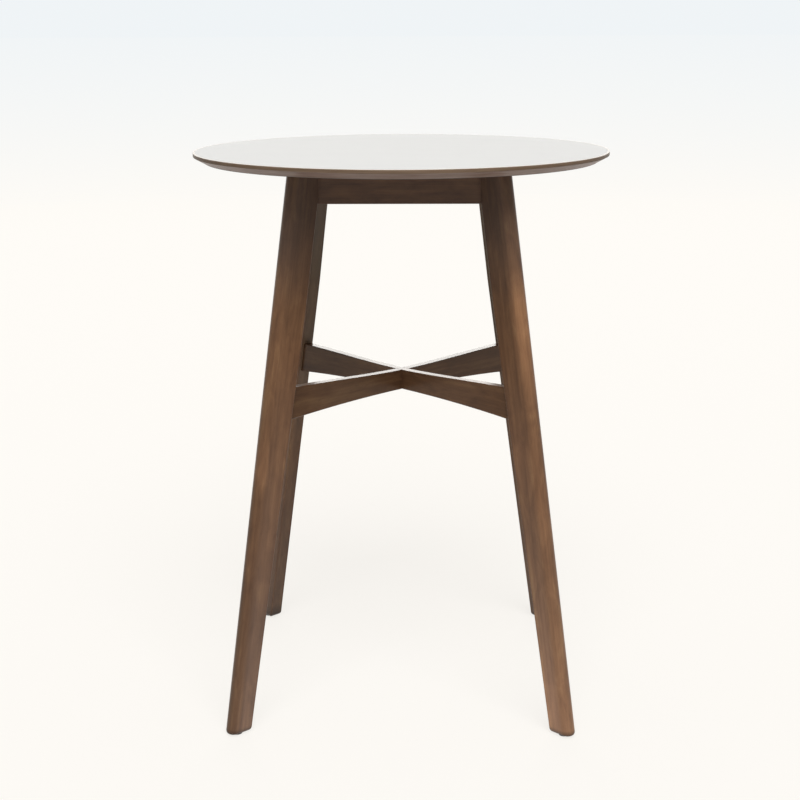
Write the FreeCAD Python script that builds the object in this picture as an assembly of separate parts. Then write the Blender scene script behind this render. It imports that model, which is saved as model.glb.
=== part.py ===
import FreeCAD, Part
import math
import os

# Round bar table: a bevelled round top on an apron frame, four splayed legs set on
# the diagonals, and a cross stretcher halved together at its middle.
# Millimetres, +Z up, origin on the floor under the middle of the top.
# The front is -Y and the right is +X.

# Whole table
top_diameter = 800.0
table_height = 1075.0

# Tabletop, from the top down: sheet, core and backing
sheet_thickness = 1.0
sheet_edge_bevel = 0.5
core_thickness = 17.5
core_rim_height = 6.2
core_rim_easing = 0.8
core_bevel_run = 21.0
backing_thickness = 0.8
backing_inset = 1.0

# Legs: set in from the top's rim at their heads, and standing out past it at the floor
leg_thickness = 31.0
leg_head_width = 66.0
leg_foot_width = 46.0
leg_head_setback = 117.5
leg_foot_overreach = 63.0
leg_taper_height = 790.0
leg_edge_easing = 2.0
leg_foot_rounding = 7.0

# Apron rails, with their outer faces just behind the legs' inner corners
apron_height = 66.0
apron_thickness = 20.0
apron_corner_setback = 0.6
apron_edge_easing = 1.5

# Corner blocks
block_side = 66.0
block_setback = 7.0
block_apex_relief = 5.0

# Cross stretcher arms
arm_thickness = 18.0
arm_top_height = 642.0
arm_middle_depth = 39.0
arm_top_rise = 9.5
arm_bottom_drop = 12.0
arm_swell_length = 80.0
arm_swell_rise = 7.0
arm_edge_easing = 1.2
lap_clearance = 0.1

# Foot glides and their nails
glide_radius = 10.0
glide_height = 2.5
glide_edge_easing = 0.8
nail_radius = 1.2
nail_length = 20.0
nail_head_radius = 2.8
nail_head_height = 0.8
nail_head_recess = 1.3

# Leg bolts with their washers and nuts
bolt_radius = 4.0
bolt_bite = 36.0
bolt_stub = 4.0
bolt_edge_distance = 15.0
washer_radius = 8.0
washer_thickness = 1.6
nut_across_flats = 13.0
nut_height = 6.5

# Wood screws, with the length counted from under the head
block_screw = {"radius": 2.0, "length": 23.0, "head_radius": 4.0, "head_height": 2.6}
top_screw = {"radius": 2.25, "length": 40.0, "head_radius": 4.5, "head_height": 2.8}
bracket_screw = {"radius": 1.75, "length": 13.0, "head_radius": 3.4, "head_height": 2.0}
lap_screw = {"radius": 2.0, "length": 30.0, "head_radius": 3.9, "head_height": 2.4}
screw_head_room = 0.5
screw_tip_share = 0.15
head_rim_share = 0.4

# Places of the screws on the corner blocks
block_screw_offset = 24.0
top_screw_inset = 14.0
top_screw_offset = 18.0
top_screw_bite = 12.5

# Angle brackets between the apron rails and the top
bracket_width = 42.0
bracket_flange = 28.0
bracket_thickness = 2.0
bracket_bend_radius = 2.0
bracket_corner_radius = 5.0
bracket_hole_inset = 16.0
bracket_hole_spacing = 24.0

# Dowels between the stretcher arms and the legs
dowel_radius = 5.0
dowel_length = 44.0
dowel_spacing = 30.0
dowel_end_easing = 1.0

# Fits
thread_clearance = 0.1
nut_clearance = 0.2
shank_clearance = 0.3
hole_end_room = 1.0
overrun = 10.0

# Directions of the corners and sides from the centre, in degrees
corner_angles = {"front_left": 225.0, "front_right": 315.0, "rear_right": 45.0, "rear_left": 135.0}
side_angles = {"front": 270.0, "right": 0.0, "rear": 90.0, "left": 180.0}
diagonal_angle = 45.0
quarter_turn_angle = 90.0
full_turn_angle = 360.0
nut_side_count = 6
rounding_step_count = 4

# Heights of the top's layers and reaches of the legs
top_radius = top_diameter / 2
core_top = table_height - sheet_thickness
core_bottom = core_top - core_thickness
underside = core_bottom - backing_thickness
leg_head_reach = top_radius - leg_head_setback
leg_foot_reach = top_radius + leg_foot_overreach


def leg_outer_reach(height):
    """Reach of the leg's straight outer edge at a height above the floor."""
    share = height / underside
    return leg_foot_reach + (leg_head_reach - leg_foot_reach) * share


def leg_inner_reach(height):
    """Reach of the leg's inner edge, which tapers towards the foot."""
    share = min(height / leg_taper_height, 1)
    width = leg_foot_width + (leg_head_width - leg_foot_width) * share
    return leg_outer_reach(height) - width


# Apron, corner blocks and bolts
apron_bottom = underside - apron_height
leg_corner_reach = (leg_inner_reach(apron_bottom) + leg_thickness / 2) / math.sqrt(2)
apron_face_reach = leg_corner_reach - apron_corner_setback
apron_inner_reach = apron_face_reach - apron_thickness
block_height = apron_height - block_setback
block_bottom = underside - block_height
block_apex_reach = apron_inner_reach * math.sqrt(2)
block_depth = block_side / math.sqrt(2)
block_face_reach = block_apex_reach - block_depth
bolt_heights = (underside - bolt_edge_distance, block_bottom + bolt_edge_distance)
bolt_inner_end = block_face_reach - washer_thickness - nut_height - bolt_stub

# Stretcher arms and their dowels
arm_bottom_height = arm_top_height - arm_middle_depth
arm_lap_height = (arm_top_height + arm_bottom_height) / 2
arm_end_top = arm_top_height + arm_top_rise
arm_end_bottom = arm_bottom_height - arm_bottom_drop
arm_end_middle = (arm_end_top + arm_end_bottom) / 2
dowel_heights = (arm_end_middle - dowel_spacing / 2, arm_end_middle + dowel_spacing / 2)

origin = FreeCAD.Vector(0, 0, 0)
outward = FreeCAD.Vector(1, 0, 0)
across = FreeCAD.Vector(0, 1, 0)
up = FreeCAD.Vector(0, 0, 1)


# Small helpers

def turned(shape, angle):
    """A copy of the shape, turned about the table's centre line."""
    copy = shape.copy()
    copy.rotate(origin, up, angle)
    return copy


def placed(shape, point, direction):
    """A copy of a shape made along +Z, moved to the point and aimed along the direction."""
    copy = shape.copy()
    copy.Placement = FreeCAD.Placement(point, FreeCAD.Rotation(up, direction))
    return copy


def rod(radius, start, end):
    """A round rod from one point to another."""
    run = end - start
    return Part.makeCylinder(radius, run.Length, start, run)


def prism(points, run):
    """A solid made by pushing the flat outline through these points along a run."""
    return Part.Face(Part.makePolygon(points + points[:1])).extrude(run)


def line(start, end):
    return Part.LineSegment(start, end).toShape()


def arc(start, middle, end):
    return Part.Arc(start, middle, end).toShape()


def curve(points):
    """A smooth edge through the points."""
    spline = Part.BSplineCurve()
    spline.interpolate(points)
    return spline.toShape()


def disc(profile):
    """A solid of revolution about the centre line, from (radius, height) points."""
    points = [FreeCAD.Vector(radius, 0, height) for radius, height in profile]
    return Part.Face(Part.makePolygon(points + points[:1])).revolve(origin, up, full_turn_angle)


def ring_copies(shape, angles):
    return [turned(shape, angle) for angle in angles]


def pilot_hole(screw, point, direction):
    """The hole a screw's shank bites into, from its bearing point to past its tip."""
    end = point + direction * (screw["length"] + hole_end_room)
    return rod(screw["radius"] + thread_clearance, point, end)


def counterbored_hole(screw, point, direction, reach):
    """A clear hole ahead of a screw's bearing point and a wider one behind it for its head."""
    clear = rod(screw["radius"] + shank_clearance, point, point + direction * reach)
    head = rod(screw["head_radius"] + screw_head_room, point - direction * reach, point)
    return [clear, head]


# Legs, made along +X with the outer edge outward

def leg_section(height, easing, inset):
    """Level section of a leg: half-round outer edge and a flat inner edge with eased corners."""
    half = leg_thickness / 2 - inset
    outer = leg_outer_reach(height) - inset
    inner = leg_inner_reach(height) + inset
    nose = outer - half
    turn_in = inner + easing
    flat = half - easing
    bulge = easing / math.sqrt(2)

    def at(reach, offset):
        return FreeCAD.Vector(reach, offset, height)

    edges = [
        line(at(turn_in, -half), at(nose, -half)),
        arc(at(nose, -half), at(outer, 0), at(nose, half)),
        line(at(nose, half), at(turn_in, half)),
    ]
    if easing > 0:
        edges.append(arc(at(turn_in, half), at(turn_in - bulge, flat + bulge), at(inner, flat)))
    edges.append(line(at(inner, flat), at(inner, -flat)))
    if easing > 0:
        edges.append(arc(at(inner, -flat), at(turn_in - bulge, -flat - bulge), at(turn_in, -half)))
    return Part.Wire(edges)


def leg_body():
    """The leg's whole form, from the top of its glide to the underside of the top."""
    sections = []
    for step in range(rounding_step_count):
        turn = math.radians(quarter_turn_angle * step / rounding_step_count)
        height = glide_height + leg_foot_rounding * (1 - math.cos(turn))
        inset = leg_foot_rounding * (1 - math.sin(turn))
        sections.append(leg_section(height, leg_edge_easing, inset))
    for height in (glide_height + leg_foot_rounding, leg_taper_height, underside):
        sections.append(leg_section(height, leg_edge_easing, 0))
    return Part.makeLoft(sections, True, True)


def sharp_leg_body():
    """The leg's form with sharp corners, to cut the rails round it."""
    sections = [leg_section(height, 0, 0) for height in (glide_height, leg_taper_height, underside)]
    return Part.makeLoft(sections, True, True)


def foot_centre():
    """Point at the middle of the foot's end, where the glide sits."""
    reach = (leg_outer_reach(glide_height) + leg_inner_reach(glide_height)) / 2
    return FreeCAD.Vector(reach, 0, glide_height)


def leg_holes():
    """Blind holes for the bolts, the dowels and the glide's nail."""
    holes = []
    for height in bolt_heights:
        mouth = leg_inner_reach(height)
        start = FreeCAD.Vector(mouth - overrun, 0, height)
        end = FreeCAD.Vector(mouth + bolt_bite + hole_end_room, 0, height)
        holes.append(rod(bolt_radius + thread_clearance, start, end))
    for height in dowel_heights:
        mouth = leg_inner_reach(height)
        start = FreeCAD.Vector(mouth - overrun, 0, height)
        end = FreeCAD.Vector(mouth + dowel_length / 2 + hole_end_room, 0, height)
        holes.append(rod(dowel_radius + thread_clearance, start, end))
    foot = foot_centre()
    nail_top = nail_head_recess + nail_length + hole_end_room
    holes.append(rod(nail_radius + thread_clearance,
                     foot - up * overrun,
                     FreeCAD.Vector(foot.x, 0, nail_top)))
    return holes


def make_leg():
    return leg_body().cut(leg_holes())


# Apron rails, made on the +X side

def bolt_run_holes(radius):
    """Through holes for the bolts, along the diagonal from the block's face to the leg."""
    holes = []
    for height in bolt_heights:
        start = FreeCAD.Vector(block_face_reach - overrun, 0, height)
        end = FreeCAD.Vector(leg_inner_reach(height) + overrun, 0, height)
        holes.append(rod(radius, start, end))
    return holes


def make_apron():
    """A rail with mitred ends, let round the inner corners of the legs beside it."""
    outer = apron_face_reach
    inner = apron_inner_reach
    corner_points = [(outer, -outer), (outer, outer), (inner, inner), (inner, -inner)]
    outline = [FreeCAD.Vector(x, y, apron_bottom) for x, y in corner_points]
    rail = prism(outline, up * apron_height)
    face_foot = [edge for edge in rail.Edges
                 if abs(edge.BoundBox.ZMax - apron_bottom) < apron_edge_easing
                 and abs(edge.BoundBox.XMax - edge.BoundBox.XMin) < apron_edge_easing]
    rail = rail.makeFillet(apron_edge_easing, face_foot)
    leg = sharp_leg_body()
    tools = []
    for angle in (-diagonal_angle, diagonal_angle):
        tools.append(turned(leg, angle))
        for hole in bolt_run_holes(bolt_radius + shank_clearance):
            tools.append(turned(hole, angle))
    for spot in block_screw_spots():
        pilot = pilot_hole(block_screw, spot["point"], spot["direction"])
        for angle in (-diagonal_angle, diagonal_angle):
            tools.append(turned(pilot, angle))
    for spot in bracket_screw_spots():
        if spot["into"] == "rail":
            tools.append(pilot_hole(bracket_screw, spot["point"], spot["direction"]))
    return rail.cut(tools)


# Corner blocks, made on the +X diagonal

def block_screw_spots():
    """Where the two screws from a block into its rails bear, and which way they run."""
    spots = []
    depth = block_screw["head_radius"] + screw_head_room + block_screw["head_height"]
    for hand in (-1, 1):
        direction = FreeCAD.Vector(1, hand, 0).normalize()
        mouth = FreeCAD.Vector(block_face_reach, hand * block_screw_offset,
                               underside - block_height / 2)
        point = mouth + direction * depth
        spots.append({"point": point, "direction": direction})
    return spots


def top_screw_spots():
    """Points under the heads of the two screws from a block up into the top."""
    height = underside + top_screw_bite - top_screw["length"]
    reach = block_face_reach + top_screw_inset
    return [FreeCAD.Vector(reach, hand * top_screw_offset, height) for hand in (-1, 1)]


def make_block():
    """A three-sided hardwood block glued into the corner of the apron."""
    tip = block_apex_reach - block_apex_relief
    face = block_face_reach
    corner_points = [(tip, -block_apex_relief), (tip, block_apex_relief),
                     (face, block_depth), (face, -block_depth)]
    outline = [FreeCAD.Vector(x, y, block_bottom) for x, y in corner_points]
    block = prism(outline, up * block_height)
    tools = bolt_run_holes(bolt_radius + shank_clearance)
    for spot in block_screw_spots():
        tools += counterbored_hole(block_screw, spot["point"], spot["direction"], block_depth)
    for point in top_screw_spots():
        tools += counterbored_hole(top_screw, point, up, block_height)
    return block.cut(tools)


# Tabletop

def make_top_sheet():
    """White laminate sheet with a small bevel round its upper edge."""
    return disc([
        (0, core_top),
        (top_radius, core_top),
        (top_radius, table_height - sheet_edge_bevel),
        (top_radius - sheet_edge_bevel, table_height),
        (0, table_height),
    ])


def top_pilot_holes():
    """Blind holes in the underside for the block screws and the bracket screws."""
    holes = []
    for point in top_screw_spots():
        holes += ring_copies(pilot_hole(top_screw, point, up), corner_angles.values())
    for spot in bracket_screw_spots():
        if spot["into"] == "top":
            hole = pilot_hole(bracket_screw, spot["point"], spot["direction"])
            holes += ring_copies(hole, side_angles.values())
    return holes


def make_top_core():
    """Core board with an upright rim and a wide bevel under it."""
    rim_bottom = core_top - core_rim_height
    core = disc([
        (0, core_bottom),
        (top_radius - core_bevel_run, core_bottom),
        (top_radius, rim_bottom),
        (top_radius, core_top),
        (0, core_top),
    ])
    edges = [edge for edge in core.Edges
             if abs(edge.BoundBox.ZMax - rim_bottom) < core_rim_easing
             and abs(edge.BoundBox.ZMin - rim_bottom) < core_rim_easing]
    return core.makeFillet(core_rim_easing, edges).cut(top_pilot_holes())


def make_top_backing():
    """Thin backing sheet that balances the laminate."""
    radius = top_radius - core_bevel_run - backing_inset
    sheet = Part.makeCylinder(radius, backing_thickness, FreeCAD.Vector(0, 0, underside))
    return sheet.cut(top_pilot_holes())


# Cross stretcher, made along X

def arm_body():
    """An arm that deepens towards its ends, cut to the slope of the legs' inner edges."""
    top_reach = leg_inner_reach(arm_end_top)
    bottom_reach = leg_inner_reach(arm_end_bottom)
    near = -arm_thickness / 2

    def at(reach, height):
        return FreeCAD.Vector(reach, near, height)

    swell_reach = top_reach - arm_swell_length
    swell_height = arm_top_height + arm_swell_rise
    outline = Part.Wire([
        curve([
            at(-top_reach, arm_end_top),
            at(-swell_reach, swell_height),
            at(0, arm_top_height),
            at(swell_reach, swell_height),
            at(top_reach, arm_end_top),
        ]),
        line(at(top_reach, arm_end_top), at(bottom_reach, arm_end_bottom)),
        arc(at(bottom_reach, arm_end_bottom), at(0, arm_bottom_height),
            at(-bottom_reach, arm_end_bottom)),
        line(at(-bottom_reach, arm_end_bottom), at(-top_reach, arm_end_top)),
    ])
    arm = Part.Face(outline).extrude(across * arm_thickness)
    long_edges = [edge for edge in arm.Edges
                  if edge.BoundBox.XMin < 0 < edge.BoundBox.XMax]
    return arm.makeChamfer(arm_edge_easing, long_edges)


def arm_dowel_holes():
    holes = []
    for height in dowel_heights:
        mouth = leg_inner_reach(height)
        for hand in (-1, 1):
            start = FreeCAD.Vector(hand * (mouth + overrun), 0, height)
            end = FreeCAD.Vector(hand * (mouth - dowel_length / 2 - hole_end_room), 0, height)
            holes.append(rod(dowel_radius + thread_clearance, start, end))
    return holes


def lap_notch(from_height, to_height):
    width = arm_thickness + lap_clearance * 2
    corner = FreeCAD.Vector(-width / 2, -arm_thickness, from_height)
    return Part.makeBox(width, arm_thickness * 2, to_height - from_height, corner)


def lap_screw_point():
    """Point under the head of the screw that holds the lap together from below."""
    return up * (arm_bottom_height + lap_screw["head_height"] + screw_head_room)


def make_lower_arm():
    """The arm that is notched from above, with the lap screw's hole and head recess."""
    tools = arm_dowel_holes()
    tools.append(lap_notch(arm_lap_height, arm_end_top))
    tools += counterbored_hole(lap_screw, lap_screw_point(), up, arm_middle_depth)
    return arm_body().cut(tools)


def make_upper_arm():
    """The arm that is notched from below, with the lap screw's pilot hole."""
    tools = arm_dowel_holes()
    tools.append(lap_notch(arm_end_bottom, arm_lap_height))
    tools.append(pilot_hole(lap_screw, lap_screw_point(), up))
    return arm_body().cut(tools)


# Foot glides, made under the leg on +X

def make_glide():
    """Plastic disc with an eased tread and a recessed hole for its nail."""
    foot = foot_centre()
    base = FreeCAD.Vector(foot.x, 0, 0)
    body = Part.makeCylinder(glide_radius, glide_height, base)
    tread = [edge for edge in body.Edges
             if edge.BoundBox.ZMax < glide_edge_easing and edge.BoundBox.XLength > glide_radius]
    body = body.makeFillet(glide_edge_easing, tread)
    recess = rod(nail_head_radius + screw_head_room, base - up * overrun,
                 base + up * nail_head_recess)
    hole = rod(nail_radius + thread_clearance, base, foot + up * overrun)
    return body.cut([recess, hole])


# Angle brackets, made on the +X side

def bracket_screw_spots():
    """Where each bracket screw bears, which way it runs, and what it goes into."""
    spots = []
    for hand in (-1, 1):
        offset = hand * bracket_hole_spacing / 2
        rail_point = FreeCAD.Vector(apron_inner_reach - bracket_thickness, offset,
                                    underside - bracket_hole_inset)
        top_point = FreeCAD.Vector(apron_inner_reach - bracket_hole_inset, offset,
                                   underside - bracket_thickness)
        spots.append({"point": rail_point, "direction": outward, "into": "rail"})
        spots.append({"point": top_point, "direction": up, "into": "top"})
    return spots


def make_bracket():
    """Bent steel angle with rounded corners and two holes in each flange."""
    inner_radius = bracket_bend_radius
    outer_radius = bracket_bend_radius + bracket_thickness
    back = apron_inner_reach
    side = -bracket_width / 2

    def at(depth, drop):
        return FreeCAD.Vector(back - depth, side, underside - drop)

    def on_bend(radius):
        inset = outer_radius - radius / math.sqrt(2)
        return at(inset, inset)

    outline = Part.Wire([
        line(at(0, bracket_flange), at(0, outer_radius)),
        arc(at(0, outer_radius), on_bend(outer_radius), at(outer_radius, 0)),
        line(at(outer_radius, 0), at(bracket_flange, 0)),
        line(at(bracket_flange, 0), at(bracket_flange, bracket_thickness)),
        line(at(bracket_flange, bracket_thickness), at(outer_radius, bracket_thickness)),
        arc(at(outer_radius, bracket_thickness), on_bend(inner_radius),
            at(bracket_thickness, outer_radius)),
        line(at(bracket_thickness, outer_radius), at(bracket_thickness, bracket_flange)),
        line(at(bracket_thickness, bracket_flange), at(0, bracket_flange)),
    ])
    bracket = Part.Face(outline).extrude(across * bracket_width)
    corner_edges = []
    for edge in bracket.Edges:
        box = edge.BoundBox
        flange_end = (box.ZMin < underside - bracket_flange + bracket_thickness / 2
                      or box.XMin < back - bracket_flange + bracket_thickness / 2)
        if flange_end and edge.Length < bracket_thickness * 2:
            corner_edges.append(edge)
    bracket = bracket.makeFillet(bracket_corner_radius, corner_edges)
    tools = []
    for spot in bracket_screw_spots():
        reach = spot["direction"] * overrun
        tools.append(rod(bracket_screw["radius"] + shank_clearance,
                         spot["point"] - reach, spot["point"] + reach))
    return bracket.cut(tools)


# Fasteners, each made along +Z with its bearing face at the origin

def make_screw(screw):
    """A wood screw with a domed head below the origin and a pointed shank above it."""
    radius = screw["radius"]
    length = screw["length"]
    head_radius = screw["head_radius"]
    head_height = screw["head_height"]
    rim = head_height * head_rim_share
    rise = head_height - rim
    dome_radius = (head_radius ** 2 + rise ** 2) / (2 * rise)
    half_radius = head_radius / 2
    half_drop = dome_radius - math.sqrt(dome_radius ** 2 - half_radius ** 2)

    def at(reach, height):
        return FreeCAD.Vector(reach, 0, height)

    outline = Part.Wire([
        line(at(0, length), at(0, -head_height)),
        arc(at(0, -head_height), at(half_radius, half_drop - head_height), at(head_radius, -rim)),
        line(at(head_radius, -rim), at(head_radius, 0)),
        line(at(head_radius, 0), at(radius, 0)),
        line(at(radius, 0), at(radius, length * (1 - screw_tip_share))),
        line(at(radius, length * (1 - screw_tip_share)), at(0, length)),
    ])
    return Part.Face(outline).revolve(origin, up, full_turn_angle)


def make_nail():
    """A glide nail: flat head below the bearing face, plain shank and point above."""
    tip = nail_length * (1 - screw_tip_share)
    return disc([
        (0, -nail_head_height),
        (nail_head_radius, -nail_head_height),
        (nail_head_radius, 0),
        (nail_radius, 0),
        (nail_radius, tip),
        (0, nail_length),
    ])


def make_dowel():
    """A dowel along X, centred on the origin, with eased ends."""
    half = dowel_length / 2
    start = outward * -half
    body = rod(dowel_radius, start, outward * half)
    rims = [edge for edge in body.Edges if edge.BoundBox.XLength < dowel_end_easing / 2]
    return body.makeChamfer(dowel_end_easing, rims)


def make_nut():
    """A hexagon nut along X, from the washer side inward."""
    corner_radius = nut_across_flats / math.sqrt(3)
    points = []
    for step in range(nut_side_count):
        angle = step * 2 * math.pi / nut_side_count
        points.append(FreeCAD.Vector(0, corner_radius * math.cos(angle),
                                     corner_radius * math.sin(angle)))
    nut = prism(points, outward * -nut_height)
    hole = rod(bolt_radius + nut_clearance, outward * overrun, outward * -(nut_height + overrun))
    return nut.cut(hole)


def make_washer():
    """A flat washer along X."""
    body = rod(washer_radius, origin, outward * -washer_thickness)
    hole = rod(bolt_radius + nut_clearance, outward * overrun,
               outward * -(washer_thickness + overrun))
    return body.cut(hole)


def make_leg_bolt(height):
    """A hanger bolt from inside the leg, through the block, to just past its nut."""
    start = FreeCAD.Vector(bolt_inner_end, 0, height)
    end = FreeCAD.Vector(leg_inner_reach(height) + bolt_bite, 0, height)
    return rod(bolt_radius, start, end)


# Groups of fasteners over all four corners or sides

def corner_group(shapes):
    return [turned(shape, angle) for angle in corner_angles.values() for shape in shapes]


def side_group(shapes):
    return [turned(shape, angle) for angle in side_angles.values() for shape in shapes]


def leg_fastener_groups():
    bolts = [make_leg_bolt(height) for height in bolt_heights]
    washers = []
    nuts = []
    for height in bolt_heights:
        washers.append(make_washer().translated(FreeCAD.Vector(block_face_reach, 0, height)))
        nut_reach = block_face_reach - washer_thickness
        nuts.append(make_nut().translated(FreeCAD.Vector(nut_reach, 0, height)))
    return {
        "leg_bolts": corner_group(bolts),
        "leg_washers": corner_group(washers),
        "leg_nuts": corner_group(nuts),
    }


def screw_groups():
    block_screws = [placed(make_screw(block_screw), spot["point"], spot["direction"])
                    for spot in block_screw_spots()]
    top_screws = [placed(make_screw(top_screw), point, up) for point in top_screw_spots()]
    bracket_screws = [placed(make_screw(bracket_screw), spot["point"], spot["direction"])
                      for spot in bracket_screw_spots()]
    return {
        "block_screws": corner_group(block_screws),
        "top_screws": corner_group(top_screws),
        "bracket_screws": side_group(bracket_screws),
        "lap_screw": [placed(make_screw(lap_screw), lap_screw_point(), up)],
    }


def dowel_and_nail_groups():
    dowels = []
    for height in dowel_heights:
        dowels.append(make_dowel().translated(FreeCAD.Vector(leg_inner_reach(height), 0, height)))
    nail = placed(make_nail(), FreeCAD.Vector(foot_centre().x, 0, nail_head_recess), up)
    return {
        "stretcher_dowels": corner_group(dowels),
        "glide_nails": corner_group([nail]),
    }


# The whole table, piece by piece

def build_pieces():
    pieces = {
        "top_sheet": [make_top_sheet()],
        "top_core": [make_top_core()],
        "top_backing": [make_top_backing()],
        "stretcher_lower_arm": [turned(make_lower_arm(), diagonal_angle)],
        "stretcher_upper_arm": [turned(make_upper_arm(), -diagonal_angle)],
    }
    leg = make_leg()
    block = make_block()
    glide = make_glide()
    for name, angle in corner_angles.items():
        pieces["leg_" + name] = [turned(leg, angle)]
        pieces["corner_block_" + name] = [turned(block, angle)]
        pieces["foot_glide_" + name] = [turned(glide, angle)]
    apron = make_apron()
    bracket = make_bracket()
    for name, angle in side_angles.items():
        pieces["apron_" + name] = [turned(apron, angle)]
        pieces["top_bracket_" + name] = [turned(bracket, angle)]
    pieces.update(leg_fastener_groups())
    pieces.update(screw_groups())
    pieces.update(dowel_and_nail_groups())
    return pieces


def write_pieces(pieces):
    os.makedirs("parts", exist_ok=True)
    for name, solids in pieces.items():
        shape = solids[0] if len(solids) == 1 else Part.makeCompound(solids)
        shape.exportStep("parts/" + name + ".step")


write_pieces(build_pieces())
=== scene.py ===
import math
from collections import namedtuple

import bpy
from mathutils import Matrix, Vector


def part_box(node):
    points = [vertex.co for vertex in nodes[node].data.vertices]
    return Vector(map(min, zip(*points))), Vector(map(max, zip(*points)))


# A stretcher arm, and a layer of noise with its waves per metre along each axis
Arm = namedtuple("Arm", "name along seed front_shade rear_shade")
Layer = namedtuple("Layer", "waves detail roughness swirl", defaults=(0.55, 0.0))

corner_names = ("front_left", "front_right", "rear_right", "rear_left")
side_names = ("front", "right", "rear", "left")
steel_names = (
    "leg_bolts", "leg_washers", "leg_nuts", "block_screws",
    "top_screws", "bracket_screws", "lap_screw", "glide_nails",
)

# Camera, as fitted to the photograph: metres and degrees, with lens and sensor in millimetres
camera_place = Vector((0.0653, -3.1557, 1.3392))
camera_heading = 1.266
camera_tilt_down = 13.573
camera_roll = -0.261
camera_lens = 72.91
camera_sensor = 36.0
right_angle = 90.0
matrix_rows = 4

# Light: metres, degrees, and strengths at which a colour renders about as written
dome_low_strength = 0.10
dome_high_strength = 0.80
key_strength = 2.2
key_softness = 45.0
key_elevation = 51.0
key_side_turn = 8.0
sheen_strength = 4.5
sheen_tint = (1.0, 0.970, 0.920)
sheen_distance = 20.0
sheen_low_angle = 9.0
sheen_high_angle = 24.0
sheen_width = 18.0
sheen_mirror_height = 0.642

# Floor and background: linear colours, and distances from the table's axis in metres
paper_white = (0.990, 0.965, 0.922)
far_white = (0.870, 0.905, 0.925)
black = (0.0, 0.0, 0.0)
floor_bounce_near = (0.85, 0.84, 0.82)
floor_bounce_far = (0.08, 0.08, 0.08)
floor_glow_share = 0.8
floor_half_width = 80.0
floor_tint_distance = 8.5
floor_lit_near = 3.0
floor_lit_far = 9.0
bounce_near_distance = 0.55
bounce_far_distance = 2.2

# All materials: linear colours, roughness from low to high, relief as strength and depth in metres
new_stop_share = 0.5
noise_low = 0.3
noise_high = 0.7
bevel_samples = 4
unworn_cosine = 0.995
worn_cosine = 0.90
turned_away_cosine = 0.80
facing_cosine = 0.95

# Walnut: stain from dark to light with the tones it is reached at, grain along X, satin lacquer
walnut_dark = (0.105, 0.050, 0.026)
walnut_middle = (0.206, 0.104, 0.051)
walnut_light = (0.334, 0.189, 0.090)
walnut_stops = ((0.34, walnut_dark), (0.515, walnut_middle), (0.70, walnut_light))
walnut_roughness = (0.40, 0.52)
walnut_relief = (0.12, 0.0004)
lacquer_roughness = 0.28
lacquer_index = 1.285
cloud_layer = Layer((13.0, 42.0, 42.0), 3.0, swirl=0.8)
streak_layer = Layer((2.2, 60.0, 60.0), 4.0, roughness=0.6, swirl=0.5)
line_layer = Layer((6.0, 260.0, 260.0), 3.0, roughness=0.6)
drift_layer = Layer((1.2, 9.0, 9.0), 2.0)
fibre_layer = Layer((30.0, 1100.0, 1100.0), 2.0)
pore_layer = Layer((70.0, 1500.0, 1500.0), 1.0)
figure_shares = (0.34, 0.34, 0.16, 0.16)
pore_start = 0.36
pore_full = 0.30
pore_dark_share = 0.5
fibre_relief_share = 0.5
arris_width = 0.010
arris_dark_share = 0.45
arris_worn_share = 0.30
worn_tone_start = 0.56
worn_tone_full = 0.66

# Where each piece is cut from the figure: steps in metres per seed, so that no two are alike
seed_steps = (3.7, 1.3, 0.9)
first_leg_seed = 1.0
first_apron_seed = 11.0

# Painted light and shade on the legs, mixed with each leg's tone: pairs of height in metres and
# factor on the stain, from the foot up
even_shades = ((0.05, 1.0), (1.0, 1.0))
rear_right_tone_and_painted_light = (
    (0.03, 0.60), (0.14, 0.65), (0.28, 0.74), (0.38, 0.82),
    (0.52, 0.92), (0.71, 0.92), (0.87, 1.08),
)
rear_left_tone_and_painted_light = (
    (0.03, 0.54), (0.14, 0.64), (0.28, 0.75), (0.38, 0.84),
    (0.52, 0.94), (0.71, 0.94), (0.87, 1.08),
)
edge_tone_and_painted_light = {
    "front_left": (
        (0.05, 0.69), (0.22, 0.72), (0.36, 0.90), (0.45, 0.87), (0.50, 1.33),
        (0.60, 0.94), (0.80, 1.08), (0.93, 0.70), (0.99, 1.28),
    ),
    "front_right": (
        (0.05, 1.42), (0.16, 1.28), (0.27, 1.18), (0.46, 1.34), (0.60, 1.14),
        (0.71, 1.72), (0.82, 1.90), (0.88, 1.20), (0.99, 1.42),
    ),
    "rear_right": rear_right_tone_and_painted_light,
    "rear_left": rear_left_tone_and_painted_light,
}
side_tone_and_painted_light = {
    "front_left": (
        (0.05, 0.98), (0.22, 0.88), (0.36, 1.08), (0.55, 1.17), (0.72, 1.26), (0.86, 0.93),
    ),
    "front_right": (
        (0.05, 1.95), (0.22, 1.33), (0.38, 1.10), (0.54, 1.36), (0.62, 1.10), (0.90, 0.90),
    ),
    "rear_right": rear_right_tone_and_painted_light,
    "rear_left": rear_left_tone_and_painted_light,
}

# Painted shade added on the flanks, the sides that face out to the left or right
flank_painted_shade = {
    "front_left": ((0.05, 0.76), (0.50, 0.74), (0.75, 1.00)),
    "front_right": ((0.05, 0.92), (0.75, 1.00)),
    "rear_right": even_shades,
    "rear_left": even_shades,
}
flank_start = -0.012
flank_full = 0.0

# Half-round edge of a leg: its depth, and the shares of it where its painted light and shade start
# and are full
half_round_depth = 0.0155
half_round_shares = dict.fromkeys(corner_names, (1.6, 0.6)) | {"front_left": (1.40, 0.35)}

# Slice at the top of a leg in which the head of its outer edge lies
head_slice_height = 0.001

# Painted shade round the bottom of each foot, and how far up it fades
foot_painted_shade = 0.10
foot_painted_shade_heights = dict.fromkeys(corner_names, 0.0125) | {"rear_left": 0.030}
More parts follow.
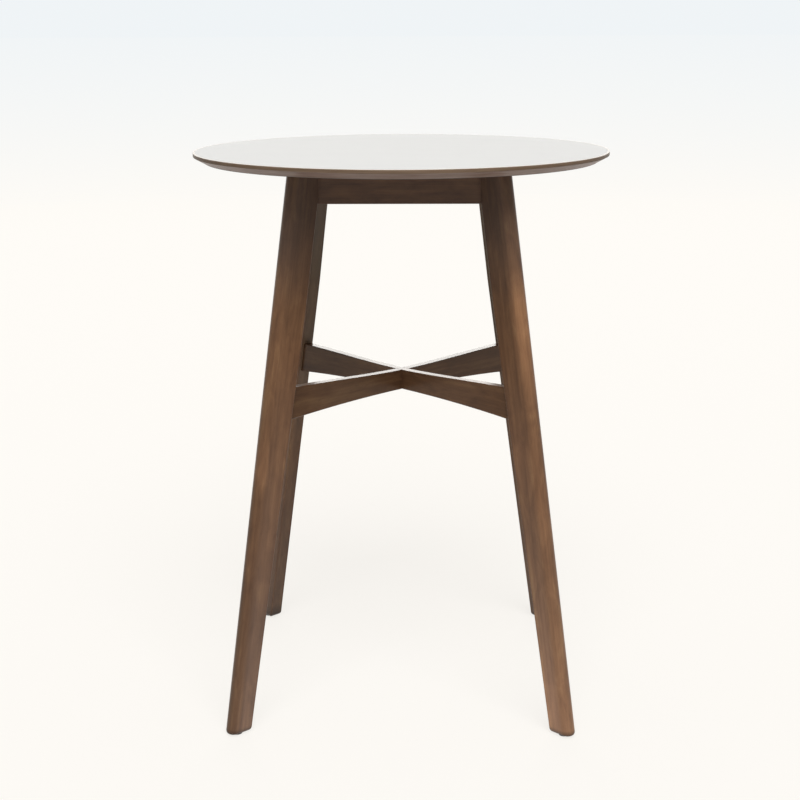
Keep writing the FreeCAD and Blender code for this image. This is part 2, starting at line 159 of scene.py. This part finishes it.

# Painted reflection of the pale floor at the feet, a pale veil over the stain: shares on the sides
# and on the outer edge
foot_painted_reflection = (0.42, 0.355, 0.335)
foot_painted_reflection_height = 0.72
foot_painted_reflection_shares = {
    "front_left": (0.16, 0.03),
    "front_right": (0.16, 0.06),
    "rear_right": (0.12, 0.07),
    "rear_left": (0.07, 0.06),
}

# Painted reflection, a pale veil, on the legs' inner faces: pairs of height in metres and share
inner_painted_reflection = (0.30, 0.265, 0.205)
inner_painted_reflection_shares = (
    (0.40, 0.0), (0.50, 0.10), (0.62, 0.30), (0.72, 0.26), (0.80, 0.45), (0.95, 0.45),
)

# Painted reflection, a grey veil, at the heads of all the wood, between two heights
head_painted_reflection = (0.13, 0.125, 0.13)
head_painted_reflection_share = 0.25
head_painted_reflection_low = 0.80
head_painted_reflection_high = 0.96

# Rails and stretcher arms: factors on the stain, with painted light that lightens the rails and a
# painted shadow of the top that darkens the arms towards the rear
rail_painted_light = 1.40
arm_painted_shadow_reach = 0.12
arms = (
    Arm("stretcher_lower_arm", Vector((1, 1, 0)), seed=21.0, front_shade=0.60, rear_shade=0.52),
    Arm("stretcher_upper_arm", Vector((-1, 1, 0)), seed=22.0, front_shade=0.80, rear_shade=0.48),
)

# Bare hardwood of the blocks and dowels, with its grain at an angle in degrees
hardwood_dark = (0.42, 0.27, 0.15)
hardwood_pale = (0.55, 0.38, 0.22)
hardwood_stops = ((0.35, hardwood_dark), (0.65, hardwood_pale))
hardwood_turn = 45.0
hardwood_line_layer = Layer((12.0, 300.0, 300.0), 4.0)
hardwood_fleck_layer = Layer((90.0, 700.0, 700.0), 2.0)
hardwood_shares = (0.7, 0.3)
hardwood_roughness = 0.7
hardwood_relief = (0.2, 0.0005)

# White laminate, with a painted highlight, slightly creamier, on the eased edge
laminate_white = (0.730, 0.728, 0.713)
laminate_dark_share = 0.97
laminate_edge_highlight = (0.90, 0.85, 0.79)
laminate_highlight_width = 0.005
laminate_highlight_full_share = 0.4
laminate_mottle_layer = Layer((14.0, 14.0, 14.0), 4.0)
laminate_grain_layer = Layer((900.0, 900.0, 900.0), 2.0)
laminate_roughness = (0.40, 0.48)
laminate_relief = (0.02, 0.00005)
laminate_gloss_share = 0.12
laminate_gloss_roughness = 0.25
laminate_gloss_index = 1.5

# Stained edge of the top: upright rim, reverse bevel, and the arris under the laminate
rim_dark = (0.185, 0.125, 0.080)
rim_light = (0.300, 0.205, 0.138)
bevel_dark = (0.320, 0.222, 0.182)
bevel_light = (0.460, 0.336, 0.282)
arris_brown = (0.35, 0.235, 0.150)
rim_dark_tone = 0.38
rim_light_tone = 0.62
rim_radius = 0.4
rim_height = 0.0062
rim_blend = 0.0004
arris_height = 0.0022
rim_grain_layer = Layer((18.0, 520.0, 520.0), 4.0)
rim_streak_layer = Layer((3.0, 110.0, 110.0), 3.0)
rim_shares = (0.5, 0.5)
rim_roughness = 0.45
rim_relief = (0.1, 0.0004)
rim_gloss_share = 0.5
rim_gloss_roughness = 0.22
rim_gloss_index = 1.2

# Backing sheet
backing_brown = (0.26, 0.23, 0.20)
backing_dark_share = 0.8
backing_mottle_layer = Layer((60.0, 60.0, 60.0), 5.0)
backing_roughness = 0.65
backing_relief = (0.1, 0.0003)

# Zinc-plated steel
zinc = (0.62, 0.62, 0.60)
zinc_dark_share = 0.7
zinc_scratch_layer = Layer((400.0, 60.0, 400.0), 3.0)
zinc_patch_layer = Layer((120.0, 120.0, 120.0), 3.0)
zinc_roughness = (0.28, 0.48)
zinc_relief = (0.06, 0.0002)

# Moulded plastic of the glides, with paler scuffs
plastic_black = (0.022, 0.020, 0.019)
scuff_grey = (0.07, 0.066, 0.062)
scuff_start = 0.55
scuff_full = 0.75
scuff_layer = Layer((700.0, 700.0, 700.0), 4.0)
plastic_roughness = 0.5
plastic_relief = (0.2, 0.0003)

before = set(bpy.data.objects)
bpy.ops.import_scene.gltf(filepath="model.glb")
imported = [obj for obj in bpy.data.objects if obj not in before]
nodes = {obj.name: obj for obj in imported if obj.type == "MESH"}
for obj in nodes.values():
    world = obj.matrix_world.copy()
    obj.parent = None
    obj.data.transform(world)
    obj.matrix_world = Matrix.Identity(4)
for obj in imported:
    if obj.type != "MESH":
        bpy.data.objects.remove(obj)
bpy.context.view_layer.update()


# Node helpers

class Nodes:
    """A node tree, with short calls that add nodes and return their outputs."""

    def __init__(self, owner):
        owner.use_nodes = True
        self.tree = owner.node_tree
        self.tree.nodes.clear()

    def add(self, kind, **settings):
        node = self.tree.nodes.new("ShaderNode" + kind)
        for key, value in settings.items():
            setattr(node, key, value)
        return node

    def feed(self, socket, value):
        if isinstance(value, bpy.types.NodeSocket):
            self.tree.links.new(value, socket)
        elif isinstance(value, tuple) and socket.type == "RGBA":
            socket.default_value = (*value, 1.0)
        else:
            socket.default_value = value

    def place(self, kind="Object"):
        """Coordinates of a point, by default in metres from the table's origin."""
        return self.add("TexCoord").outputs[kind]

    def turn(self, vector, location=(0, 0, 0), rotation=(0, 0, 0)):
        node = self.add("Mapping")
        self.feed(node.inputs["Vector"], vector)
        self.feed(node.inputs["Location"], location)
        self.feed(node.inputs["Rotation"], rotation)
        return node.outputs["Vector"]

    def split(self, vector):
        node = self.add("SeparateXYZ")
        self.feed(node.inputs[0], vector)
        return node.outputs

    def vector_math(self, operation, output, *values):
        node = self.add("VectorMath", operation=operation)
        for socket, value in zip(node.inputs, values):
            self.feed(socket, value)
        return node.outputs[output]

    def stretch(self, vector, factors):
        return self.vector_math("MULTIPLY", "Vector", vector, factors)

    def length(self, vector):
        return self.vector_math("LENGTH", "Value", vector)

    def cosine(self, first, second):
        return self.vector_math("DOT_PRODUCT", "Value", first, second)

    def math(self, operation, first, second):
        node = self.add("Math", operation=operation)
        self.feed(node.inputs[0], first)
        self.feed(node.inputs[1], second)
        return node.outputs[0]

    def weigh(self, values, shares):
        """The sum of values, each times its share."""
        parts = [self.math("MULTIPLY", value, share) for value, share in zip(values, shares)]
        total = parts[0]
        for part in parts[1:]:
            total = self.math("ADD", total, part)
        return total

    def remap(self, value, low, high, to_low=0.0, to_high=1.0):
        node = self.add("MapRange")
        for name, number in (("Value", value), ("From Min", low), ("From Max", high),
                             ("To Min", to_low), ("To Max", to_high)):
            self.feed(node.inputs[name], number)
        return node.outputs["Result"]

    def background_seen(self):
        """1 for the rays that see the pale background: straight, mirrored or through glass."""
        path = self.add("LightPath").outputs
        seen = self.math("MAXIMUM", path["Is Camera Ray"], path["Is Glossy Ray"])
        return self.math("MAXIMUM", seen, path["Is Transmission Ray"])


class Shader(Nodes):
    """A material's nodes."""

    def __init__(self, name):
        self.material = bpy.data.materials.new(name)
        super().__init__(self.material)

    def noise(self, vector, layer):
        node = self.add("TexNoise")
        self.feed(node.inputs["Vector"], self.stretch(vector, layer.waves))
        self.feed(node.inputs["Scale"], 1.0)
        self.feed(node.inputs["Detail"], layer.detail)
        self.feed(node.inputs["Roughness"], layer.roughness)
        self.feed(node.inputs["Distortion"], layer.swirl)
        return node.outputs["Fac"]

    def ramp(self, value, stops):
        node = self.add("ValToRGB")
        self.feed(node.inputs[0], value)
        elements = node.color_ramp.elements
        while len(elements) < len(stops):
            elements.new(new_stop_share)
        for element, (position, colour) in zip(elements, stops):
            element.position = position
            element.color = (*colour, 1.0)
        return node.outputs[0]

    def by_height(self, shades):
        """A grey that runs through the shades given at heights in metres."""
        stops = [(height, (shade, shade, shade)) for height, shade in shades]
        return self.ramp(self.split(self.place())["Z"], stops)

    def rise(self, low, high, first, last, axis="Z"):
        """A value that goes from first to last between two places on an axis."""
        return self.remap(self.split(self.place())[axis], low, high, first, last)

    def mix(self, factor, first, second, blend="MIX"):
        """A mix of two colours: the node's inputs 6 and 7 and its output 2 are colours."""
        node = self.add("Mix", data_type="RGBA", blend_type=blend)
        self.feed(node.inputs["Factor"], factor)
        self.feed(node.inputs[6], first)
        self.feed(node.inputs[7], second)
        return node.outputs[2]

    def shaded(self, colour, grey):
        """The colour times a grey."""
        return self.mix(1.0, colour, grey, "MULTIPLY")

    def mottled(self, factor, colour, dark_share):
        """The colour, down to a darker share of itself where the factor is low."""
        return self.mix(factor, tuple(value * dark_share for value in colour), colour)

    def relief(self, height, strength, depth):
        node = self.add("Bump")
        self.feed(node.inputs["Height"], height)
        self.feed(node.inputs["Strength"], strength)
        self.feed(node.inputs["Distance"], depth)
        return node.outputs["Normal"]

    def normal(self):
        return self.add("NewGeometry").outputs["Normal"]

    def edge_wear(self, radius):
        """1 at the arrises and 0 away from them, from a normal that is rounded over them."""
        bevel = self.add("Bevel", samples=bevel_samples)
        self.feed(bevel.inputs["Radius"], radius)
        cosine = self.cosine(bevel.outputs["Normal"], self.normal())
        return self.remap(cosine, unworn_cosine, worn_cosine)

    def facing(self, direction):
        """1 where the surface faces a direction, and 0 where it turns away from it."""
        return self.remap(self.cosine(self.normal(), direction), turned_away_cosine, facing_cosine)

    def finish(self, **inputs):
        surface = self.add("BsdfPrincipled")
        for key, value in inputs.items():
            self.feed(surface.inputs[key.replace("_", " ")], value)
        output = self.add("OutputMaterial")
        self.feed(output.inputs["Surface"], surface.outputs[0])
        return self.material


def paint(node_name, material):
    mesh = nodes[node_name].data
    mesh.materials.clear()
    mesh.materials.append(material)


# Walnut

def grain_turn(along, across):
    """Rotation that brings the grain's direction onto X and the face across it onto Y."""
    x_axis = along.normalized()
    z_axis = x_axis.cross(across).normalized()
    y_axis = z_axis.cross(x_axis)
    return Matrix((x_axis, y_axis, z_axis)).to_euler()


def stain(shader, tone, pores):
    """Colour of the wood by the tone of its figure, darker in the pores."""
    colour = shader.ramp(tone, walnut_stops)
    return shader.mix(shader.math("MULTIPLY", pores, pore_dark_share), colour, walnut_dark)


def arrises_and_head_reflection(shader, colour, tone):
    """Painted reflection, a grey veil, at the heads, dark arrises, and light ones where the pale
    figure is rubbed.
    """
    head_reflection = shader.rise(head_painted_reflection_low, head_painted_reflection_high, 0.0, head_painted_reflection_share)
    colour = shader.mix(head_reflection, colour, head_painted_reflection)
    edges = shader.edge_wear(arris_width)
    colour = shader.mix(shader.math("MULTIPLY", edges, arris_dark_share), colour, walnut_dark)
    worn = shader.math("MULTIPLY", edges, shader.remap(tone, worn_tone_start, worn_tone_full))
    return shader.mix(shader.math("MULTIPLY", worn, arris_worn_share), colour, walnut_light)


def dress_walnut(name, turn, seed, shade):
    """Dresses a piece in stained wood under satin lacquer, with the grain along it."""
    shader = Shader("walnut_" + name)
    turned = shader.turn(shader.place(), rotation=turn)
    cut = shader.turn(turned, location=tuple(step * seed for step in seed_steps))
    lines = shader.noise(cut, line_layer)
    clouds = shader.noise(cut, cloud_layer)
    streaks = shader.noise(cut, streak_layer)
    drift = shader.noise(cut, drift_layer)
    tone = shader.weigh((clouds, streaks, lines, drift), figure_shares)
    fibres = shader.noise(cut, fibre_layer)
    pores = shader.remap(shader.noise(cut, pore_layer), pore_start, pore_full)
    # The piece's shade function puts painted light and shade, and on the legs painted reflections,
    # into the stain
    colour = shade(shader, turned, stain(shader, tone, pores))
    height = shader.math("SUBTRACT", shader.math("MULTIPLY", fibres, fibre_relief_share), pores)
    paint(name, shader.finish(
        Base_Color=arrises_and_head_reflection(shader, colour, tone),
        Roughness=shader.remap(lines, noise_low, noise_high, *walnut_roughness),
        Specular_IOR_Level=0.0,
        Coat_Weight=1.0,
        Coat_Roughness=lacquer_roughness,
        Coat_IOR=lacquer_index,
        Normal=shader.relief(height, *walnut_relief),
    ))


def outer_point(points):
    """The point that stands farthest out from the table's axis."""
    return max(points, key=lambda point: Vector((point.x, point.y)).length)


def leg_ends(name):
    """The outer points of a leg's foot and of its head."""
    points = [vertex.co for vertex in nodes[name].data.vertices]
    middle = sum((point.z for point in points), 0.0) / len(points)
    top = max(point.z for point in points)
    foot = outer_point([point for point in points if point.z < middle])
    head = outer_point([point for point in points if point.z > top - head_slice_height])
    return foot, head


def leg_grey(shader, corner, outer, flank):
    """Painted light and shade on a leg by height, mixed with its tone, from its outer edge to its
    sides, with painted shade on the flank and round the foot.
    """
    edge_grey = shader.by_height(edge_tone_and_painted_light[corner])
    grey = shader.mix(outer, shader.by_height(side_tone_and_painted_light[corner]), edge_grey)
    grey = shader.mix(flank, grey, shader.shaded(grey, shader.by_height(flank_painted_shade[corner])))
    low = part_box("leg_" + corner)[0][2]
    # Painted shade round the bottom of the foot
    foot_shade_grey = shader.rise(low, low + foot_painted_shade_heights[corner], foot_painted_shade, 1.0)
    return shader.shaded(grey, foot_shade_grey)


def leg_painted_reflections(shader, corner, outer, inward, colour):
    """Painted reflections, pale veils, at the foot and on the upper part of the inner face."""
    share = shader.remap(outer, 0.0, 1.0, *foot_painted_reflection_shares[corner])
    share = shader.math("MULTIPLY", share, shader.rise(0.0, foot_painted_reflection_height, 1.0, 0.0))
    colour = shader.mix(share, colour, foot_painted_reflection)
    share = shader.math("MULTIPLY", shader.facing(inward), shader.by_height(inner_painted_reflection_shares))
    return shader.mix(share, colour, inner_painted_reflection)


def dress_leg(corner, seed):
    name = "leg_" + corner
    foot, head = leg_ends(name)
    outward = Vector((foot.x, foot.y, 0.0))
    turn = grain_turn(head - foot, outward)
    edge = (turn.to_matrix() @ foot).y
    flank_side = math.copysign(1.0, (turn.to_matrix() @ Vector((foot.x, -foot.y, 0.0))).z)
    edge_start, edge_full = (edge - half_round_depth * share for share in half_round_shares[corner])

    # Painted light, shade and reflections over the leg's tone
    def shade(shader, turned, colour):
        parts = shader.split(turned)
        outer = shader.remap(parts["Y"], edge_start, edge_full)
        flank = shader.remap(shader.math("MULTIPLY", parts["Z"], flank_side), flank_start, flank_full)
        colour = shader.shaded(colour, leg_grey(shader, corner, outer, flank))
        return leg_painted_reflections(shader, corner, outer, -outward.normalized(), colour)

    dress_walnut(name, turn, seed, shade)


def dress_rail(name, seed):
    low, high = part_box(name)
    size = Vector(high) - Vector(low)
    along = Vector((1, 0, 0)) if size.x > size.y else Vector((0, 1, 0))

    def shade(shader, turned, colour):
        # Painted light: the rails lighter than the stain, to make up for the shade under the top
        return shader.shaded(colour, (rail_painted_light, rail_painted_light, rail_painted_light))

    dress_walnut(name, grain_turn(along, Vector((0, 0, 1))), seed, shade)


def dress_arm(arm):
    def shade(shader, turned, colour):
        # Painted shadow of the top, darker towards the arm's rear, over its tone
        grey = shader.rise(-arm_painted_shadow_reach, arm_painted_shadow_reach, arm.front_shade, arm.rear_shade, "Y")
        return shader.shaded(colour, grey)

    dress_walnut(arm.name, grain_turn(arm.along, Vector((0, 0, 1))), arm.seed, shade)


def dress_wood():
    for place, corner in enumerate(corner_names):
        dress_leg(corner, first_leg_seed + place)
    for place, side in enumerate(side_names):
        dress_rail("apron_" + side, first_apron_seed + place)
    for arm in arms:
        dress_arm(arm)


# Tabletop

def laminate():
    shader = Shader("white_laminate")
    place = shader.place()
    mottle = shader.noise(place, laminate_mottle_layer)
    colour = shader.mottled(mottle, laminate_white, laminate_dark_share)
    radius = shader.length(shader.stretch(place, (1.0, 1.0, 0.0)))
    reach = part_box("top_sheet")[1][0]
    edge_full = reach - laminate_highlight_width * laminate_highlight_full_share
    # Painted highlight round the outer edge of the sheet
    highlight = shader.remap(radius, reach - laminate_highlight_width, edge_full)
    return shader.finish(
        Base_Color=shader.mix(highlight, colour, laminate_edge_highlight),
        Roughness=shader.remap(mottle, noise_low, noise_high, *laminate_roughness),
        Specular_IOR_Level=0.0,
        Coat_Weight=laminate_gloss_share,
        Coat_Roughness=laminate_gloss_roughness,
        Coat_IOR=laminate_gloss_index,
        Normal=shader.relief(shader.noise(place, laminate_grain_layer), *laminate_relief),
    )


def stained_edge():
    """Edge of the board, with its layers running round the rim."""
    shader = Shader("stained_edge")
    parts = shader.split(shader.place())
    angle = shader.math("ARCTAN2", parts["Y"], parts["X"])
    joined = shader.add("CombineXYZ")
    shader.feed(joined.inputs["X"], shader.math("MULTIPLY", angle, rim_radius))
    shader.feed(joined.inputs["Y"], parts["Z"])
    grain = shader.noise(joined.outputs[0], rim_grain_layer)
    streaks = shader.noise(joined.outputs[0], rim_streak_layer)
    tone = shader.weigh((grain, streaks), rim_shares)
    rim = shader.ramp(tone, ((rim_dark_tone, rim_dark), (rim_light_tone, rim_light)))
    bevel = shader.ramp(tone, ((rim_dark_tone, bevel_dark), (rim_light_tone, bevel_light)))
    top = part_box("top_core")[1][2]
    rim_low = top - rim_height
    colour = shader.mix(shader.rise(rim_low - rim_blend, rim_low + rim_blend, 0.0, 1.0), bevel, rim)
    arris = shader.rise(top - arris_height, top, 0.0, 1.0)
    return shader.finish(
        Base_Color=shader.mix(arris, colour, arris_brown),
        Roughness=rim_roughness,
        Specular_IOR_Level=0.0,
        Coat_Weight=rim_gloss_share,
        Coat_Roughness=rim_gloss_roughness,
        Coat_IOR=rim_gloss_index,
        Normal=shader.relief(grain, *rim_relief),
    )


def backing():
    shader = Shader("backing_sheet")
    mottle = shader.noise(shader.place(), backing_mottle_layer)
    return shader.finish(
        Base_Color=shader.mottled(mottle, backing_brown, backing_dark_share),
        Roughness=backing_roughness,
        Normal=shader.relief(mottle, *backing_relief),
    )


def dress_top():
    paint("top_sheet", laminate())
    paint("top_core", stained_edge())
    paint("top_backing", backing())


# Small parts

def bare_hardwood():
    shader = Shader("bare_hardwood")
    turned = shader.turn(shader.place(), rotation=(0.0, 0.0, math.radians(hardwood_turn)))
    lines = shader.noise(turned, hardwood_line_layer)
    flecks = shader.noise(turned, hardwood_fleck_layer)
    tone = shader.weigh((lines, flecks), hardwood_shares)
    return shader.finish(
        Base_Color=shader.ramp(tone, hardwood_stops),
        Roughness=hardwood_roughness,
        Normal=shader.relief(tone, *hardwood_relief),
    )


def zinc_steel():
    shader = Shader("zinc_steel")
    place = shader.place()
    scratches = shader.noise(place, zinc_scratch_layer)
    patches = shader.noise(place, zinc_patch_layer)
    return shader.finish(
        Base_Color=shader.mottled(patches, zinc, zinc_dark_share),
        Metallic=1.0,
        Roughness=shader.remap(scratches, noise_low, noise_high, *zinc_roughness),
        Normal=shader.relief(scratches, *zinc_relief),
    )


def glide_plastic():
    shader = Shader("glide_plastic")
    scuffs = shader.noise(shader.place(), scuff_layer)
    scuffed = shader.remap(scuffs, scuff_start, scuff_full)
    return shader.finish(
        Base_Color=shader.mix(scuffed, plastic_black, scuff_grey),
        Roughness=plastic_roughness,
        Normal=shader.relief(scuffs, *plastic_relief),
    )


def dress_small_parts():
    hardwood = bare_hardwood()
    steel = zinc_steel()
    plastic = glide_plastic()
    for corner in corner_names:
        paint("corner_block_" + corner, hardwood)
        paint("foot_glide_" + corner, plastic)
    for side in side_names:
        paint("top_bracket_" + side, steel)
    for name in steel_names:
        paint(name, steel)
    paint("stretcher_dowels", hardwood)


# Studio

def spin(degrees, axis):
    return Matrix.Rotation(math.radians(degrees), matrix_rows, axis)


def set_up(name, data, matrix):
    """A new object of the studio, in its place."""
    placed = bpy.data.objects.new(name, data)
    placed.matrix_world = matrix
    bpy.context.collection.objects.link(placed)
    return placed


def floor_paper():
    """Pale paper that glows where it is seen, so that a part of the shadow stays on it."""
    shader = Shader("studio_floor")
    distance = shader.length(shader.place())
    near = shader.math("DIVIDE", floor_tint_distance, distance)
    far = shader.math("MAXIMUM", shader.math("SUBTRACT", 1.0, near), 0.0)
    pale = shader.mix(far, paper_white, far_white)
    dim = shader.remap(distance, bounce_near_distance, bounce_far_distance)
    bounce = shader.mix(dim, floor_bounce_near, floor_bounce_far)
    glow = shader.remap(distance, floor_lit_near, floor_lit_far, floor_glow_share, 1.0)
    seen = shader.background_seen()
    return shader.finish(
        Base_Color=shader.mix(seen, bounce, shader.mix(glow, pale, black)),
        Roughness=1.0,
        Specular_IOR_Level=0.0,
        Emission_Color=pale,
        Emission_Strength=shader.math("MULTIPLY", seen, glow),
    )


def make_floor():
    """Wide pale floor, cooler towards the horizon."""
    bpy.ops.mesh.primitive_plane_add(size=floor_half_width * 2, location=(0, 0, 0))
    floor = bpy.context.object
    floor.name = "studio_floor"
    floor.data.materials.append(floor_paper())


def make_world():
    """Pale background where it is seen, and a dome of light that is brighter overhead."""
    world = bpy.data.worlds.new("studio")
    bpy.context.scene.world = world
    sky = Nodes(world)
    height = sky.split(sky.place("Generated"))["Z"]
    squared = sky.math("MULTIPLY", height, height)
    dome = sky.add("Background")
    strength = sky.remap(squared, 0.0, 1.0, dome_low_strength, dome_high_strength)
    sky.feed(dome.inputs["Strength"], strength)
    background = sky.add("Background")
    sky.feed(background.inputs["Color"], far_white)
    mix = sky.add("MixShader")
    sky.feed(mix.inputs[0], sky.background_seen())
    sky.feed(mix.inputs[1], dome.outputs[0])
    sky.feed(mix.inputs[2], background.outputs[0])
    sky.feed(sky.add("OutputWorld").inputs["Surface"], mix.outputs[0])


def make_key():
    """One soft light from above, in front and to the right."""
    data = bpy.data.lights.new("key", "SUN")
    data.energy = key_strength
    data.angle = math.radians(key_softness)
    set_up("key", data, spin(key_side_turn, "Z") @ spin(right_angle - key_elevation, "X"))


def make_sheen():
    """Distant low softbox behind the table, which the level surfaces mirror at a low angle."""
    low = sheen_mirror_height + sheen_distance * math.tan(math.radians(sheen_low_angle))
    high = sheen_mirror_height + sheen_distance * math.tan(math.radians(sheen_high_angle))
    data = bpy.data.lights.new("sheen", "AREA")
    data.shape = "RECTANGLE"
    data.size = sheen_width
    data.size_y = high - low
    data.energy = sheen_strength * math.pi * sheen_width * (high - low)
    data.color = sheen_tint
    place = Matrix.Translation((0.0, sheen_distance, (low + high) / 2))
    set_up("sheen", data, place @ spin(-right_angle, "X"))


def make_camera():
    data = bpy.data.cameras.new("camera")
    data.lens = camera_lens
    data.sensor_width = camera_sensor
    heading = spin(camera_heading, "Z")
    tilt = spin(right_angle - camera_tilt_down, "X")
    place = Matrix.Translation(camera_place) @ heading @ tilt @ spin(camera_roll, "Z")
    bpy.context.scene.camera = set_up("camera", data, place)


dress_top()
dress_wood()
dress_small_parts()
make_floor()
make_world()
make_key()
make_sheen()
make_camera()
bpy.context.scene.view_settings.view_transform = "Standard"
